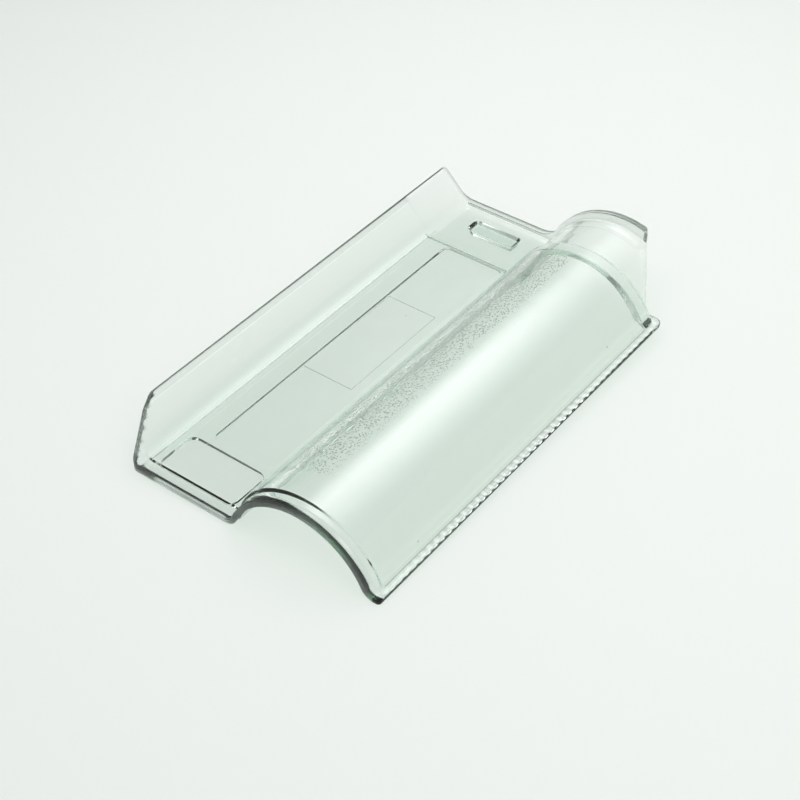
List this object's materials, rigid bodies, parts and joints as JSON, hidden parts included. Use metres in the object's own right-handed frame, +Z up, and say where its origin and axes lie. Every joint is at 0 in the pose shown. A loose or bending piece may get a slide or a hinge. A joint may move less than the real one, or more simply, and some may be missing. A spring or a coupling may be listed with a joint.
{
  "type": "glass roof tile",
  "caption": "Pressed clear glass interlocking roof tile: flat pan with an upturned side wall, round barrel with a lip, stepped head lap and a nib for the batten.",
  "frame": {"origin": "middle of the bounding box at floor level, with the tile lying unheld on its tail edge, lip and nib", "axes": "+X from the side wall to the barrel's lip, +Y from the tail to the head, +Z up from the floor, which is the weather side"},
  "size_m": [0.2674, 0.4512, 0.0657],
  "materials": {
    "glass": "clear pressed soda-lime glass, pale green, glossy, edges dark green"
  },
  "bodies": {
    "root": {"glass_tile": "glass"}
  },
  "joints": []
}
